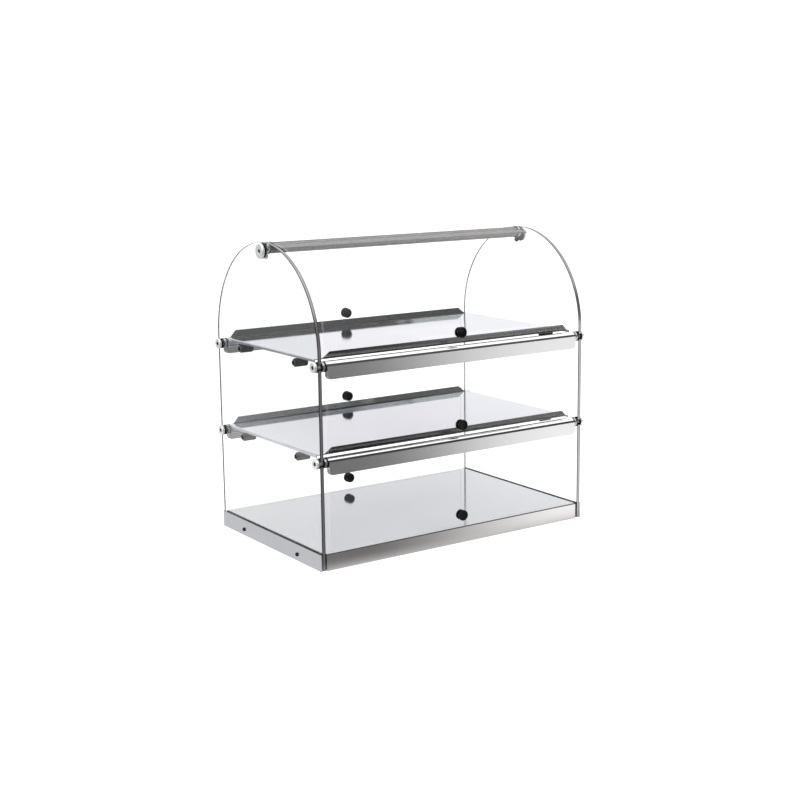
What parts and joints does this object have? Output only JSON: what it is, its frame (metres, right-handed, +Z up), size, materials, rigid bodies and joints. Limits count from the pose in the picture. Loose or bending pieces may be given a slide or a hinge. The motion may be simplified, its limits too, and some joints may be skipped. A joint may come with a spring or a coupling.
{
  "type": "hot food display case",
  "caption": "Countertop heated display case with clear arched ends, two polished shelves over a heated deck, and flap doors on front and rear rods.",
  "frame": {"origin": "centre of the case's footprint, at the bottom of its feet", "axes": "+Z up, +X along the long side from left to right, front with -Y outward"},
  "size_m": [0.5074, 0.3202, 0.4755],
  "materials": {
    "polished_steel": "mirror-polished stainless sheet",
    "brushed_steel": "satin stainless, lines along the length",
    "chrome": "bright turned metal",
    "glass": "clear, ground edges",
    "acrylic": "clear acrylic sheet, polished edges",
    "black_plastic": "black, semi-gloss",
    "inlet_plastic": "black moulded plastic",
    "rubber": "soft black rubber",
    "plain_steel": "zinc-coated sheet",
    "silicone_heater": "red-brown silicone mat"
  },
  "bodies": {
    "case": {"bottom_plate": "plain_steel", "cover_screw_left_front": "black_plastic", "cover_screw_left_rear": "black_plastic", "cover_screw_right_front": "black_plastic", "cover_screw_right_rear": "black_plastic", "deck_tray": "polished_steel", "end_glass_left": "glass", "end_glass_right": "glass", "foot_left_front": "rubber", "foot_left_rear": "rubber", "foot_right_front": "rubber", "foot_right_rear": "rubber", "heating_mat": "silicone_heater", "lower_front_cap_left": "chrome", "lower_front_cap_right": "chrome", "lower_front_rod": "chrome", "lower_peg_left_front": "black_plastic", "lower_peg_left_rear": "black_plastic", "lower_peg_right_front": "black_plastic", "lower_peg_right_rear": "black_plastic", "lower_rear_cap_left": "chrome", "lower_rear_cap_right": "chrome", "lower_rear_rod": "chrome", "lower_shelf": "polished_steel", "power_inlet": "inlet_plastic", "side_cover_left": "brushed_steel", "side_cover_right": "brushed_steel", "top_cap_left": "chrome", "top_cap_right": "chrome", "top_rod": "chrome", "upper_front_cap_left": "chrome", "upper_front_cap_right": "chrome", "upper_front_rod": "chrome", "upper_peg_left_front": "black_plastic", "upper_peg_left_rear": "black_plastic", "upper_peg_right_front": "black_plastic", "upper_peg_right_rear": "black_plastic", "upper_rear_cap_left": "chrome", "upper_rear_cap_right": "chrome", "upper_rear_rod": "chrome", "upper_shelf": "polished_steel"},
    "top_front_flap": {"top_front_door": "acrylic", "top_front_hinge_profile": "brushed_steel", "top_front_knob": "black_plastic"},
    "top_rear_flap": {"top_rear_door": "acrylic", "top_rear_hinge_profile": "brushed_steel", "top_rear_knob": "black_plastic"},
    "upper_front_flap": {"upper_front_door": "acrylic", "upper_front_hinge_profile": "brushed_steel", "upper_front_knob": "black_plastic"},
    "upper_rear_flap": {"upper_rear_door": "acrylic", "upper_rear_hinge_profile": "brushed_steel", "upper_rear_knob": "black_plastic"},
    "lower_front_flap": {"lower_front_door": "acrylic", "lower_front_hinge_profile": "brushed_steel", "lower_front_knob": "black_plastic"},
    "lower_rear_flap": {"lower_rear_door": "acrylic", "lower_rear_hinge_profile": "brushed_steel", "lower_rear_knob": "black_plastic"},
    "rocker": {"switch_rocker": "inlet_plastic"}
  },
  "joints": [
    {"name": "top_front_flap_hinge", "type": "hinge", "parent": "case", "child": "top_front_flap", "pos_m": [0, 0, 0.466], "axis": [-1, 0, 0], "range_deg": [0, 50]},
    {"name": "top_rear_flap_hinge", "type": "hinge", "parent": "case", "child": "top_rear_flap", "pos_m": [0, 0, 0.466], "axis": [1, 0, 0], "range_deg": [0, 50]},
    {"name": "upper_front_flap_hinge", "type": "hinge", "parent": "case", "child": "upper_front_flap", "pos_m": [0, -0.148, 0.3052], "axis": [-1, 0, 0], "range_deg": [0, 100]},
    {"name": "upper_rear_flap_hinge", "type": "hinge", "parent": "case", "child": "upper_rear_flap", "pos_m": [0, 0.148, 0.3052], "axis": [1, 0, 0], "range_deg": [0, 100]},
    {"name": "lower_front_flap_hinge", "type": "hinge", "parent": "case", "child": "lower_front_flap", "pos_m": [0, -0.148, 0.1638], "axis": [-1, 0, 0], "range_deg": [0, 100]},
    {"name": "lower_rear_flap_hinge", "type": "hinge", "parent": "case", "child": "lower_rear_flap", "pos_m": [0, 0.148, 0.1638], "axis": [1, 0, 0], "range_deg": [0, 100]},
    {"name": "rocker_tilt", "type": "hinge", "parent": "case", "child": "rocker", "pos_m": [0.1655, 0.1515, 0.0146], "axis": [1, 0, 0], "range_deg": [0, 16]}
  ]
}
